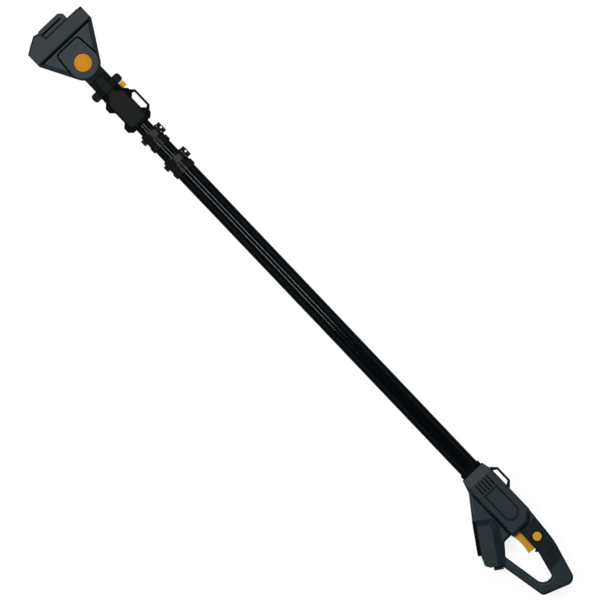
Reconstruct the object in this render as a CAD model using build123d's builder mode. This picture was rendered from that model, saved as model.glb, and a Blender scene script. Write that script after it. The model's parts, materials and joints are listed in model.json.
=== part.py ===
from build123d import *
from math import cos, radians, sin

# A telescoping pole that carries a cordless pruning saw. It lies on its side: X runs from the tilting tool head to
# the handle, +Y is the tool's top side and Z is up. The wide head and the wide battery dock rest on the ground.

# Clearances and shared hardware
slide_clearance = 0.15
running_clearance = 0.05
part_gap = 0.4
key_height = 0.5
key_width = 3.0
shell_wall = 3.0
screw_radius = 1.6
screw_head_radius = 3.2
screw_head_height = 2.4
screw_length = 20.0
screw_seat = 10.0
screw_inset = 12.0
boss_inset = 9.0
hex_sides = 6
edge_break = 1.0
spring_wall = 1.4

# Stations along the pole, from the head's nose to the back of the grip
head_reach = 96.0
neck_length = 70.0
coupler_length = 85.0
inner_tube_showing = 14.0
clamp_length = 38.0
middle_tube_showing = 24.0
outer_tube_showing = 748.0
body_length = 134.0
grip_length = 133.0

# Tubes and their tail bushes
outer_tube_radius = 19.0
tube_wall = 1.6
tube_gap = 0.9
middle_tube_length = 800.0
tail_gap = 55.0
bush_length = 32.0

# Tilting head
pack_width = 76.0
pack_face = 78.0
pack_depth = 28.0
pack_top = 67.0
pack_bottom = 62.0
pack_corner = 9.0
pack_edge = 2.5
hump_start = 18.0
hump_shoulder = 21.5
hump_ridge = 32.0
cheek_radius = 31.0
cheek_depth = 27.0
cheek_bevel = 8.0
panel_radius = 28.0
panel_half = 25.0
panel_reach = 40.5
panel_rise = 3.0
panel_corner = 5.0
panel_groove_width = 3.0
panel_groove_depth = 5.0
bar_groove_width = 3.4
bar_groove_depth = 6.0
bar_groove_top = 61.0
bar_groove_bottom = 56.0
fork_root = 26.0
eye_radius = 19.5
eye_depth = 24.0
washer_thickness = 0.8

# Tool rail on the head's face
rail_top = 35.0
rail_width = 58.0
rail_corner = 7.0
rail_groove_width = 3.5
rail_groove_depth = 5.0
rail_groove_inset = 8.5
rail_groove_stop = 9.0
contact_spacing = 11.0
contact_count = 4
contact_thickness = 1.0
contact_length = 9.0
contact_height = 18.0
slot_clearance = 0.8

# Head latch and pivot
latch_length = 20.0
latch_width = 40.0
latch_depth = 8.0
latch_proud = 0.8
latch_travel = 3.0
pivot_pin_radius = 6.0
pivot_nut_radius = 9.0
pivot_nut_height = 5.0
pivot_floor = 2.5
button_radius = 16.2
button_proud = 3.5
button_round = 1.2
button_dish = 1.2
dish_slope = 30.0
button_travel = 3.0

# Neck and spigot
neck_half = 19.5
hub_start = 38.0
collar_length = 17.0
ridge_half = 8.0
ridge_rise = 4.0
spigot_radius = 15.0
spigot_reach = 45.0
spigot_bore = 9.0
plug_length = 12.0
pin_radius = 1.2
pin_circle = 5.0
pin_turns = (90.0, 210.0, 330.0)
pin_engagement = 6.0

# Twist collar
collar_radius = 20.0
collar_edge = 1.2
lug_reach = 33.0
lug_radius = 7.0
lug_round = 6.0
nose_radius = 16.8
nose_length = 5.0

# Coupler
coupler_half = 20.5
coupler_depth = 17.0
flange_half = 28.0
flange_one = 11.0
flange_two = 59.5
flange_length = 24.0
flange_slope = 7.0
cover_half = 18.5
cover_start = 14.0
cover_end = 77.0
cover_rise = 5.0
cover_edge = 1.8
tube_socket = 35.0
socket_flange = 3.0
release_length = 11.0
release_width = 10.0
release_rise = 10.0
release_start = 0.8
release_travel = 3.0
release_round = 1.5

# Strap eyes
eye_bar = 4.4
eye_width = 8.0
front_eye_rise = 7.6
rear_eye_rise = 10.8
rear_eye_start = 14.5
rear_eye_span = 53.5

# Flip clamps
clamp_wall = 3.5
ring_wall = 3.0
ring_length = 12.0
tube_seat = 16.0
clamp_slit = 2.0
ear_start = 1.0
ear_length = 20.0
ear_height = 8.0
ear_half = 9.0
hinge_angle = 38.0
hinge_offset = 4.0
hinge_radius = 3.2
hinge_pin_radius = 1.5
lever_width = 12.0
lever_gap = 0.7
lever_thickness = 3.4
lever_root = 42.0
lever_start = 48.0
lever_facets = (60.0, 94.0, 128.0, 152.0)
lever_tip = 158.0
lever_lip = 3.0
bolt_radius = 2.0
bolt_head_radius = 3.6
bolt_head_height = 2.4

# Handle body and D-shaped grip
body_top = 28.5
body_bottom = 28.0
body_half = 28.0
body_round = 6.0
mouth_half = 24.0
mouth_taper = 18.0
mouth_depth = 24.0
body_shoulder = 16.0
body_shoulder_drop = 19.5
bay_start = 22.0
frame_half = 16.0
grip_crown = 22.0
grip_crown_forward = 56.0
grip_sweep = 160.0
bow_overhang = 4.9
bow_round = 15.0
bow_back = 11.0
bow_drop = 25.5
bow_wall = 31.0
heel_drop = 61.5
heel_inset = 18.0
heel_round = 9.0
bar_foot = 83.0
bar_rise = 47.5
gusset_drop = 31.5
opening_top = 12.0
opening_side = 45.0
opening_foot = 62.5
opening_round = 16.0
finger_rise = 13.5
finger_stop = 17.5
frame_round = 5.0
rib_thickness = 6.0
bay_length = 24.0
board_thickness = 1.6
mouth_collar_radius = 21.5
mouth_collar_lip = 9.0
mouth_collar_seat = 5.0
vent_length = 23.0
vent_width = 2.4
vent_pitch = 6.8
vent_count = 5
vent_depth = 1.9
label_start = 46.0
label_length = 68.0
label_half = 15.5
label_groove = 2.4
label_depth = 1.5
label_cut = 9.0
sleeve_thickness = 2.4
sleeve_start = 2.0
sleeve_end = 90.0

# Trigger and lock-off
trigger_width = 14.0
trigger_reach = 42.0
trigger_hang = 28.0
trigger_pivot_back = 5.0
trigger_pivot_drop = 8.0
trigger_pin_radius = 2.0
trigger_boss = 5.0
trigger_turn = 8.0
switch_setback = 9.2
switch_rise = 12.0
switch_length = 15.0
switch_height = 9.0
lock_forward = 30.0
lock_rise = 4.5
lock_radius = 8.4
lock_height = 7.0
lock_proud = 3.5
lock_travel = 3.5
lock_round = 1.5
lock_ring_wall = 2.4
lock_ring_height = 1.0

# Battery dock
dock_setback = 69.5
dock_drop = 62.0
dock_slant = 34.0
dock_length = 86.5
dock_depth = 42.0
dock_shoulder = 33.0
dock_corner = 16.0
dock_bevel = 10.0
dock_rail_length = 63.0
dock_rail_height = 6.0
dock_channel_half = 24.0
dock_channel_depth = 8.0
dock_rail_wall = 8.0
dock_lip = 4.0
dock_lip_height = 2.5
dock_end_wall = 5.0
dock_toe = 4.0
dock_toe_rise = 3.5
dock_toe_run = 18.0
dock_heel_rise = 12.0
dock_tail = 7.0
dock_tail_rise = 19.0
dock_tail_half = 18.0
terminal_length = 14.0
terminal_half = 17.0

# Sizes that follow from the ones above
middle_tube_radius = outer_tube_radius - tube_wall - tube_gap
inner_tube_radius = middle_tube_radius - tube_wall - tube_gap
pack_back = pack_face - pack_depth
fork_half = eye_depth / 2 + washer_thickness
panel_face = cheek_depth + panel_rise
pole_length = (
    head_reach + neck_length + coupler_length + inner_tube_showing + 2 * clamp_length
    + middle_tube_showing + outer_tube_showing + body_length + grip_length
)
dock_forward = body_length - dock_setback
dock_lowest = (
    dock_drop + (dock_length - dock_toe) * sin(radians(dock_slant))
    - (dock_rail_height + dock_toe_rise) * cos(radians(dock_slant))
)

# Where things are: the origin is under the middle of the pole's box
mid_z = pack_width / 2
axis_y = (dock_lowest - pack_top) / 2
pivot_x = head_reach - pole_length / 2
coupler_x = pivot_x + neck_length
front_clamp_x = coupler_x + coupler_length + inner_tube_showing
rear_clamp_x = front_clamp_x + clamp_length + middle_tube_showing
body_x = rear_clamp_x + clamp_length + outer_tube_showing
inner_tube_x = coupler_x + coupler_length - tube_socket
middle_tube_x = front_clamp_x + tube_seat
inner_tube_length = middle_tube_x + middle_tube_length - tail_gap - inner_tube_x
outer_tube_x = rear_clamp_x + tube_seat
outer_tube_end = body_x + bay_start + 2 * (bay_length + rib_thickness)


def side_plane(x, y=0.0):
    """Side view of the tool at a station: local x along the pole, local y towards the top side."""
    return Plane((x, axis_y + y, mid_z))


def across(x):
    """Section of the pole at a station: local x towards the top side, local y up, normal along the pole."""
    return Plane((x, axis_y, mid_z), x_dir=(0, 1, 0), z_dir=(1, 0, 0))


HEAD = side_plane(pivot_x)
COUPLER = side_plane(coupler_x)
HANDLE = side_plane(body_x)
DOCK = Plane(
    (body_x + dock_forward, axis_y - dock_drop, mid_z),
    x_dir=(cos(radians(dock_slant)), -sin(radians(dock_slant)), 0),
    z_dir=(0, 0, 1),
)
MIDDLE = Plane.XY.offset(mid_z)


def write(piece, name):
    """Labels a finished piece and writes it."""
    piece.part.label = name
    export_step(piece.part, f"parts/{name}.step")


def screw_group(plane, spots):
    """Pan-head screws, driven in from the far side."""
    with BuildPart() as group:
        with BuildSketch(plane.offset(-screw_seat)):
            with Locations(*spots):
                Circle(screw_radius)
        extrude(amount=screw_length)
        with BuildSketch(plane.offset(-screw_seat)):
            with Locations(*spots):
                Circle(screw_head_radius)
        extrude(amount=-screw_head_height)
    return group


def cut_pilot_holes(plane, spots):
    """Blind holes for the screws in a near shell."""
    with BuildSketch(plane) as holes:
        with Locations(*spots):
            Circle(screw_radius)
    extrude(holes.sketch, amount=screw_length - screw_seat, mode=Mode.SUBTRACT)


def cut_screw_seats(plane, spots, outside):
    """Counterbored holes for the screws in a far shell whose outer face is at the given depth."""
    with BuildSketch(plane) as holes:
        with Locations(*spots):
            Circle(screw_radius + slide_clearance)
    extrude(holes.sketch, amount=-screw_seat, mode=Mode.SUBTRACT)
    with BuildSketch(plane.offset(-screw_seat)) as seats:
        with Locations(*spots):
            Circle(screw_head_radius + slide_clearance)
    extrude(seats.sketch, amount=screw_seat - outside, mode=Mode.SUBTRACT)


# Tubes: round, each with a straight key inside that the next tube's tail bush rides on
def tube(front_x, length, radius, keyed):
    inner = radius - tube_wall
    with BuildPart() as made:
        with BuildSketch(across(front_x)):
            Circle(radius)
            Circle(inner, mode=Mode.SUBTRACT)
            if keyed:
                with Locations((-inner - tube_wall / 4 + key_height / 2, 0)):
                    Rectangle(key_height + tube_wall / 2, key_width)
        extrude(amount=length)
    return made


def tail_bush(tail_x, radius):
    with BuildPart() as made:
        with BuildSketch(across(tail_x - bush_length)):
            Circle(radius + tube_gap - slide_clearance)
            Circle(radius, mode=Mode.SUBTRACT)
            with Locations((-radius - tube_gap / 2, 0)):
                Rectangle(2 * tube_gap, key_width + 2 * part_gap, mode=Mode.SUBTRACT)
        extrude(amount=bush_length)
    return made


outer_tube = tube(outer_tube_x, outer_tube_end - outer_tube_x, outer_tube_radius, True)
middle_tube = tube(middle_tube_x, middle_tube_length, middle_tube_radius, True)
inner_tube = tube(inner_tube_x, inner_tube_length, inner_tube_radius, False)
middle_bush = tail_bush(middle_tube_x + middle_tube_length, middle_tube_radius)
inner_bush = tail_bush(inner_tube_x + inner_tube_length, inner_tube_radius)
write(outer_tube, "outer_tube")
write(middle_tube, "middle_tube")
write(inner_tube, "inner_tube")
write(middle_bush, "middle_tube_bush")
write(inner_bush, "inner_tube_bush")


# Flip clamps: a split collar fixed on the larger tube, closed round the smaller one by a hinged lever
def polar(radius, angle):
    return (radius * cos(radians(angle)), radius * sin(radians(angle)))


def clamp_collar(front_x, small, large):
    grip = small + clamp_wall
    knuckle = (ear_length - lever_width) / 2 - part_gap
    with BuildPart() as collar:
        with BuildSketch(across(front_x)):
            Circle(grip)
        extrude(amount=clamp_length - ring_length)
        with BuildSketch(across(front_x + clamp_length - ring_length)):
            Circle(large + ring_wall)
        extrude(amount=ring_length)
        chamfer(collar.edges().filter_by(GeomType.CIRCLE).group_by(Axis.X)[-1], edge_break)
        with BuildSketch(across(front_x + ear_start)):
            with Locations(((grip + ear_height) / 2, 0)):
                Rectangle(grip + ear_height, 2 * ear_half)
        extrude(amount=ear_length)
        fillet(collar.edges().filter_by(Axis.X).group_by(Axis.Y)[-1], ear_height / 3)
        for start in (ear_start, ear_start + ear_length - knuckle):
            with BuildSketch(across(front_x + start)):
                with Locations(polar(grip + hinge_offset, hinge_angle), polar(grip - hinge_radius, hinge_angle)):
                    Circle(hinge_radius)
                make_hull()
            extrude(amount=knuckle)
        with BuildSketch(across(front_x)):
            Circle(small + slide_clearance)
        extrude(amount=clamp_length, mode=Mode.SUBTRACT)
        with BuildSketch(across(front_x + tube_seat)):
            Circle(large)
        extrude(amount=clamp_length - tube_seat, mode=Mode.SUBTRACT)
        with BuildSketch(across(front_x)):
            with Locations((grip, 0)):
                Rectangle(2 * grip, clamp_slit)
        extrude(amount=tube_seat - part_gap, mode=Mode.SUBTRACT)
        with BuildSketch(across(front_x + ear_start)):
            with Locations(polar(grip + hinge_offset, hinge_angle)):
                Circle(hinge_pin_radius)
        extrude(amount=ear_length, mode=Mode.SUBTRACT)
        with BuildSketch(side_plane(front_x + ear_start + ear_length / 2, grip + ear_height / 2)):
            Circle(bolt_radius)
        extrude(amount=ear_half, both=True, mode=Mode.SUBTRACT)
    return collar


def clamp_lever(front_x, small):
    grip = small + clamp_wall
    inner = grip + lever_gap
    outer = inner + lever_thickness
    middle = (hinge_angle + lever_facets[-1]) / 2
    tip = lever_facets[-1]
    with BuildPart() as lever:
        with BuildSketch(across(front_x + ear_start + (ear_length - lever_width) / 2)):
            with BuildLine():
                Polyline(
                    polar(inner, lever_start),
                    polar(outer, lever_root),
                    *[polar(outer, angle) for angle in lever_facets],
                    polar(outer + lever_lip, lever_tip),
                    polar(inner, tip),
                )
                ThreePointArc(polar(inner, tip), polar(inner, middle), polar(inner, lever_start))
            make_face()
            with Locations(polar(grip + hinge_offset, hinge_angle)):
                Circle(hinge_radius)
                Circle(hinge_pin_radius + running_clearance, mode=Mode.SUBTRACT)
        extrude(amount=lever_width)
        chamfer(lever.edges().filter_by(Axis.X).group_by(Axis.Z)[-1], lever_thickness / 6)
    return lever


def clamp_pin(front_x, small):
    with BuildPart() as pin:
        with BuildSketch(across(front_x + ear_start)):
            with Locations(polar(small + clamp_wall + hinge_offset, hinge_angle)):
                Circle(hinge_pin_radius)
        extrude(amount=ear_length)
    return pin


def clamp_bolt(front_x, small):
    plane = side_plane(front_x + ear_start + ear_length / 2, small + clamp_wall + ear_height / 2)
    with BuildPart() as bolt:
        with BuildSketch(plane):
            Circle(bolt_radius)
        extrude(amount=ear_half, both=True)
        with BuildSketch(plane.offset(-ear_half)):
            RegularPolygon(bolt_head_radius, hex_sides)
        extrude(amount=-bolt_head_height)
    return bolt


clamps = {
    "front_clamp": (front_clamp_x, inner_tube_radius, middle_tube_radius),
    "rear_clamp": (rear_clamp_x, middle_tube_radius, outer_tube_radius),
}
for clamp_name, (clamp_x, small_radius, large_radius) in clamps.items():
    write(clamp_collar(clamp_x, small_radius, large_radius), f"{clamp_name}_collar")
    write(clamp_lever(clamp_x, small_radius), f"{clamp_name}_lever")
    write(clamp_pin(clamp_x, small_radius), f"{clamp_name}_hinge_pin")
    write(clamp_bolt(clamp_x, small_radius), f"{clamp_name}_bolt")


# Tilting head: two half shells shaped like a battery pack on a fork
def head_wedge():
    """Outline of the pack and the tangents that close it onto the round of the fork."""
    Circle(cheek_radius)
    with Locations((-pack_back - pack_depth / 2, (pack_top - pack_bottom) / 2)):
        Rectangle(pack_depth, pack_top + pack_bottom)
    make_hull()


def head_panel():
    """Outline of the raised cheek panel round the pivot."""
    Circle(panel_radius)
    with Locations((-panel_reach / 2, 0)):
        RectangleRounded(panel_reach, 2 * panel_half, panel_corner)
    make_hull()


head_spots = (
    (-pack_back - pack_depth / 2, pack_top - screw_inset),
    (-pack_back - pack_depth / 2, screw_inset - pack_bottom),
    (-fork_root - 2 * shell_wall, panel_half + shell_wall),
    (-fork_root - 2 * shell_wall, -panel_half - shell_wall),
)
latch_foot = (-pack_face, -pack_bottom)
latch_ridge = (-head_reach, -hump_ridge)
latch_along = Vector(latch_foot[0] - latch_ridge[0], latch_foot[1] - latch_ridge[1], 0).normalized()
LATCH = Plane(
    HEAD.origin + (Vector(*latch_foot, 0) + Vector(*latch_ridge, 0)) / 2,
    x_dir=latch_along,
    z_dir=(latch_along.Y, -latch_along.X, 0),
)


def head_panel_cut():
    """Leaves only a groove round the panel."""
    with BuildSketch(mode=Mode.PRIVATE) as inside:
        head_panel()
    add(inside.sketch, mode=Mode.SUBTRACT)


def head_half():
    with BuildPart() as half:
        with BuildSketch(HEAD):
            head_wedge()
        extrude(amount=cheek_depth)
        chamfer(half.edges().group_by(Axis.Z)[-1], cheek_bevel)
        with BuildSketch(HEAD):
            with BuildLine():
                Polyline(
                    (-pack_back, pack_top),
                    (-pack_face + pack_corner / 2, pack_top),
                    (-pack_face, pack_top - pack_corner),
                    (-pack_face, -hump_start),
                    (-head_reach + pack_edge, -hump_shoulder),
                    latch_ridge,
                    latch_foot,
                    (-pack_back, -pack_bottom),
                    close=True,
                )
            make_face()
        extrude(amount=pack_width / 2)
        chamfer(half.edges().group_by(Axis.Z)[-1], pack_edge)
        with BuildSketch(HEAD):
            head_panel()
        extrude(amount=panel_face)
        with BuildSketch(HEAD.offset(cheek_depth)):
            head_panel()
            offset(amount=panel_groove_width)
            head_panel_cut()
        extrude(amount=-panel_groove_depth, mode=Mode.SUBTRACT)
        with BuildSketch(HEAD.offset(cheek_depth)):
            with Locations((-pack_back, (bar_groove_top - bar_groove_bottom) / 2)):
                Rectangle(bar_groove_width, bar_groove_top + bar_groove_bottom, align=(Align.MIN, Align.CENTER))
        extrude(amount=-bar_groove_depth, mode=Mode.SUBTRACT)
        with BuildSketch(HEAD):
            head_wedge()
            offset(amount=-shell_wall)
            with Locations((cheek_radius - fork_root, 0)):
                Rectangle(2 * cheek_radius, 2 * (pack_top + pack_bottom), mode=Mode.SUBTRACT)
        extrude(amount=cheek_depth - cheek_bevel - shell_wall, mode=Mode.SUBTRACT)
        with BuildSketch(HEAD):
            with Locations(*head_spots):
                Circle(2 * screw_radius + shell_wall)
        extrude(amount=cheek_depth - cheek_bevel)
        with BuildSketch(HEAD):
            with Locations((neck_length / 2 - fork_root + shell_wall, 0)):
                Rectangle(neck_length, 4 * cheek_radius)
        extrude(amount=fork_half, mode=Mode.SUBTRACT)
        with BuildSketch(HEAD):
            Circle(pivot_pin_radius + running_clearance)
        extrude(amount=panel_face, mode=Mode.SUBTRACT)
        with BuildSketch(LATCH):
            Rectangle(latch_length + 2 * part_gap, latch_width + 2 * part_gap)
        extrude(amount=-latch_depth - latch_travel, mode=Mode.SUBTRACT)
    return half


head_shape = head_half()
with BuildPart() as head_shell_near:
    add(head_shape.part)
    with BuildSketch(HEAD.offset(fork_half + pivot_floor)):
        Circle(button_radius + part_gap)
    extrude(amount=panel_face, mode=Mode.SUBTRACT)
    cut_pilot_holes(HEAD, head_spots)
with BuildPart() as head_shell_far:
    mirror(head_shape.part, about=MIDDLE)
    with BuildSketch(HEAD.offset(-fork_half - pivot_floor)):
        Circle(pivot_nut_radius + part_gap)
    extrude(amount=-panel_face, mode=Mode.SUBTRACT)
    cut_screw_seats(HEAD, head_spots, pack_width)
write(head_shell_near, "head_shell_near")
write(head_shell_far, "head_shell_far")
write(screw_group(HEAD, head_spots), "head_screws")

# Tool rail: a flanged block on the head's face that a cordless tool slides over, with blade contacts
rail_bottom = -hump_start
rail_middle = (rail_top + rail_bottom) / 2
contact_rows = [contact_spacing * (place - (contact_count - 1) / 2) for place in range(contact_count)]
RAIL_FACE = Plane(
    (pivot_x - head_reach, axis_y + rail_middle, mid_z), x_dir=(0, 1, 0), z_dir=(-1, 0, 0)
)
with BuildPart() as tool_rail:
    with BuildSketch(HEAD):
        with BuildLine():
            Polyline(
                (-pack_face, rail_bottom),
                (-pack_face, rail_top),
                (-head_reach + rail_corner, rail_top),
                (-head_reach, rail_top - rail_corner),
                (-head_reach, -hump_shoulder + part_gap),
                (-head_reach + pack_edge, -hump_shoulder + part_gap),
                close=True,
            )
        make_face()
    extrude(amount=rail_width / 2, both=True)
    for side in (1, -1):
        with BuildSketch(HEAD.offset(side * rail_width / 2)):
            with Locations((-pack_face - rail_groove_inset, rail_middle - rail_groove_stop / 2)):
                Rectangle(rail_groove_width, rail_top - rail_bottom - rail_groove_stop)
        extrude(amount=-side * rail_groove_depth, mode=Mode.SUBTRACT)
    with BuildSketch(RAIL_FACE):
        with Locations(*[(0, row) for row in contact_rows]):
            Rectangle(contact_height + slot_clearance, contact_thickness + 4 * slot_clearance)
    extrude(amount=-contact_length - slot_clearance, mode=Mode.SUBTRACT)
write(tool_rail, "tool_rail")

with BuildPart() as tool_contacts:
    with BuildSketch(RAIL_FACE.offset(-contact_length - slot_clearance)):
        with Locations(*[(0, row) for row in contact_rows]):
            Rectangle(contact_height, contact_thickness)
    extrude(amount=contact_length - slot_clearance)
write(tool_contacts, "tool_contacts")

with BuildPart() as head_latch:
    with BuildSketch(LATCH.offset(latch_proud)):
        RectangleRounded(latch_length, latch_width, panel_corner / 2)
    extrude(amount=-latch_depth - latch_proud)
    fillet(head_latch.faces().sort_by(lambda face: LATCH.to_local_coords(face.center()).Z)[-1].edges(), latch_proud)
write(head_latch, "head_latch")

# Pivot: a shouldered bolt through the fork, held by a nut under the push button
bolt_foot = -fork_half - pivot_floor
with BuildPart() as pivot_pin:
    with BuildSketch(HEAD.offset(bolt_foot)):
        Circle(pivot_pin_radius)
    extrude(amount=2 * (fork_half + pivot_floor) + pivot_nut_height)
    with BuildSketch(HEAD.offset(bolt_foot)):
        Circle(pivot_nut_radius)
    extrude(amount=-pivot_nut_height)
    chamfer(pivot_pin.edges().group_by(Axis.Z)[0], edge_break)
write(pivot_pin, "pivot_pin")

with BuildPart() as pivot_nut:
    with BuildSketch(HEAD.offset(fork_half + pivot_floor)):
        RegularPolygon(pivot_nut_radius, hex_sides)
        Circle(pivot_pin_radius, mode=Mode.SUBTRACT)
    extrude(amount=pivot_nut_height)
write(pivot_nut, "pivot_nut")

with BuildPart() as pivot_washers:
    for height in (eye_depth / 2 + part_gap / 2, -fork_half):
        with BuildSketch(HEAD.offset(height)):
            Circle(eye_radius - shell_wall)
            Circle(pivot_pin_radius + running_clearance, mode=Mode.SUBTRACT)
        extrude(amount=washer_thickness - part_gap / 2)
write(pivot_washers, "pivot_washers")

button_top = panel_face + button_proud
button_foot = fork_half + pivot_floor + button_travel + part_gap
button_height = button_top - button_foot
nut_room = pivot_nut_radius + part_gap
with BuildPart() as pivot_button:
    with BuildSketch(HEAD.offset(button_foot)):
        Circle(button_radius)
    extrude(amount=button_height)
    with BuildSketch(HEAD.offset(button_foot)):
        Circle(button_radius - shell_wall)
    extrude(amount=button_height - shell_wall - button_dish, mode=Mode.SUBTRACT)
    with BuildSketch(HEAD.offset(button_top)):
        Circle(button_radius - shell_wall)
    extrude(amount=-button_dish, taper=dish_slope, mode=Mode.SUBTRACT)
    fillet(pivot_button.edges().filter_by(GeomType.CIRCLE).group_by(Axis.Z)[-1].sort_by(SortBy.RADIUS)[-1], button_round)
write(pivot_button, "pivot_button")

spring_foot = fork_half + pivot_floor
spring_top = button_top - shell_wall - button_dish
with BuildPart() as pivot_spring:
    with BuildSketch(HEAD.offset(spring_foot)):
        Circle(nut_room + spring_wall)
        Circle(nut_room, mode=Mode.SUBTRACT)
    extrude(amount=spring_top - spring_foot)
write(pivot_spring, "pivot_spring")

# Neck: an eye in the fork, a tongue, a hub and the round spigot that plugs into the coupler
with BuildPart() as neck:
    with BuildSketch(HEAD):
        Circle(eye_radius)
        with Locations((hub_start / 2, 0)):
            Rectangle(hub_start, 2 * neck_half)
    extrude(amount=eye_depth / 2, both=True)
    with BuildSketch(across(pivot_x + hub_start)):
        Circle(neck_half)
    extrude(amount=neck_length - collar_length - part_gap - hub_start)
    for side in (1, -1):
        with BuildSketch(HEAD.offset(side * eye_depth / 2)):
            with Locations((hub_start + ridge_half, 0)):
                Circle(ridge_half)
            with Locations((hub_start / 2 + (neck_length - collar_length - part_gap + ridge_half) / 2, 0)):
                Rectangle(neck_length - collar_length - part_gap - hub_start - ridge_half, 2 * ridge_half)
            with Locations((neck_length - collar_length - part_gap, 0)):
                Rectangle(neck_length, neck_length, align=(Align.MAX, Align.CENTER), mode=Mode.INTERSECT)
        extrude(amount=side * (neck_half + ridge_rise - eye_depth / 2))
    with BuildSketch(across(pivot_x + hub_start)):
        Circle(spigot_radius)
    extrude(amount=neck_length + spigot_reach - hub_start)
    with BuildSketch(across(pivot_x + hub_start)):
        Circle(spigot_bore)
    extrude(amount=neck_length + spigot_reach, mode=Mode.SUBTRACT)
    with BuildSketch(HEAD):
        Circle(pivot_pin_radius + running_clearance)
    extrude(amount=eye_depth, both=True, mode=Mode.SUBTRACT)
write(neck, "neck")

pin_places = [polar(pin_circle, turn) for turn in pin_turns]
with BuildPart() as spigot_plug:
    with BuildSketch(across(coupler_x + spigot_reach - plug_length)):
        Circle(spigot_bore)
        with Locations(*pin_places):
            Circle(pin_radius, mode=Mode.SUBTRACT)
    extrude(amount=plug_length)
write(spigot_plug, "spigot_plug")

with BuildPart() as spigot_pins:
    with BuildSketch(across(coupler_x + spigot_reach - plug_length)):
        with Locations(*pin_places):
            Circle(pin_radius)
    extrude(amount=plug_length + pin_engagement)
write(spigot_pins, "spigot_pins")

# Twist collar: a two-lugged ring that turns on the coupler's nose and locks the spigot
with BuildPart() as twist_collar:
    with BuildSketch(across(coupler_x - collar_length)):
        with Locations((lug_reach - lug_radius, 0), (lug_radius - lug_reach, 0)):
            Circle(lug_radius)
        make_hull()
        Circle(collar_radius)
    extrude(amount=collar_length - part_gap)
    chamfer(twist_collar.faces().filter_by(Axis.X).edges(), collar_edge)
    with BuildSketch(COUPLER):
        with Locations((-(collar_length + part_gap) / 2, 0)):
            RectangleRounded(collar_length - part_gap, 2 * lug_reach, lug_round)
    extrude(amount=lug_reach, both=True, mode=Mode.INTERSECT)
    with BuildSketch(across(coupler_x - collar_length)):
        with Locations((0, (neck_half + ridge_rise) / 2)):
            Rectangle(2 * ridge_half, neck_half + ridge_rise)
    extrude(amount=collar_length - part_gap)
    with BuildSketch(across(coupler_x - collar_length)):
        Circle(spigot_radius + slide_clearance)
    extrude(amount=collar_length, mode=Mode.SUBTRACT)
    with BuildSketch(across(coupler_x - nose_length - part_gap)):
        Circle(nose_radius + slide_clearance)
    extrude(amount=nose_length + part_gap, mode=Mode.SUBTRACT)
write(twist_collar, "twist_collar")

# Coupler: half shells with two flanges, clamped round the inner tube, with a socket for the spigot
coupler_spots = (
    (flange_one + flange_length / 2, flange_half - 2 * shell_wall),
    (flange_one + flange_length / 2, 2 * shell_wall - flange_half),
    (flange_two + flange_length / 2, flange_half - 2 * shell_wall),
    (flange_two + flange_length / 2, 2 * shell_wall - flange_half),
)


def flange_outline(start, side):
    return (
        (start, side * coupler_half),
        (start + flange_slope, side * flange_half),
        (start + flange_length - flange_slope, side * flange_half),
        (start + flange_length, side * coupler_half),
    )


def coupler_half_shell():
    with BuildPart() as half:
        with BuildSketch(COUPLER):
            with BuildLine():
                Polyline(
                    (0, -coupler_half),
                    (0, coupler_half),
                    *flange_outline(flange_one, 1),
                    *flange_outline(flange_two, 1),
                    *reversed(flange_outline(flange_two, -1)),
                    *reversed(flange_outline(flange_one, -1)),
                    close=True,
                )
            make_face()
        extrude(amount=coupler_depth)
        chamfer(half.edges().group_by(Axis.Z)[-1], shell_wall)
        with BuildSketch(across(coupler_x - nose_length)):
            Circle(nose_radius)
            with Locations((0, -nose_radius)):
                Rectangle(2 * nose_radius, 2 * nose_radius, mode=Mode.SUBTRACT)
        extrude(amount=2 * nose_length)
        with BuildSketch(across(coupler_x - nose_length)):
            Circle(spigot_radius + slide_clearance)
        extrude(amount=nose_length + spigot_reach + part_gap, mode=Mode.SUBTRACT)
        with BuildSketch(across(inner_tube_x - socket_flange)):
            Circle(spigot_radius)
        extrude(amount=socket_flange, mode=Mode.SUBTRACT)
        with BuildSketch(across(inner_tube_x)):
            Circle(inner_tube_radius)
        extrude(amount=coupler_length, mode=Mode.SUBTRACT)
        with BuildSketch(across(inner_tube_x - coupler_length)):
            Circle(spigot_bore)
        extrude(amount=coupler_length, mode=Mode.SUBTRACT)
        with BuildSketch(COUPLER):
            with Locations((release_start + release_length / 2, coupler_half)):
                Rectangle(release_length + 2 * part_gap, 2 * (coupler_half - spigot_radius))
        extrude(amount=release_width / 2 + part_gap, mode=Mode.SUBTRACT)
    return half


coupler_shape = coupler_half_shell()
with BuildPart() as coupler_shell_near:
    add(coupler_shape.part)
    cut_pilot_holes(COUPLER, coupler_spots)
with BuildPart() as coupler_shell_far:
    mirror(coupler_shape.part, about=MIDDLE)
    cut_screw_seats(COUPLER, coupler_spots, pack_width)
write(coupler_shell_near, "coupler_shell_near")
write(coupler_shell_far, "coupler_shell_far")
write(screw_group(COUPLER, coupler_spots), "coupler_screws")


def coupler_cover(side):
    with BuildPart() as cover:
        with BuildSketch(COUPLER.offset(side * coupler_depth)):
            with BuildLine():
                Polyline(
                    (0, ridge_half),
                    (cover_start - ridge_half, ridge_half),
                    (cover_start, cover_half),
                    (cover_end - shell_wall, cover_half),
                    (cover_end, cover_half - shell_wall),
                    (cover_end, shell_wall - cover_half),
                    (cover_end - shell_wall, -cover_half),
                    (cover_start, -cover_half),
                    (cover_start - ridge_half, -ridge_half),
                    (0, -ridge_half),
                    close=True,
                )
            make_face()
        extrude(amount=side * cover_rise)
        outside = cover.edges().group_by(Axis.Z)[-1 if side > 0 else 0]
        chamfer(outside, cover_edge)
    return cover


write(coupler_cover(1), "coupler_cover_near")
write(coupler_cover(-1), "coupler_cover_far")

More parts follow.
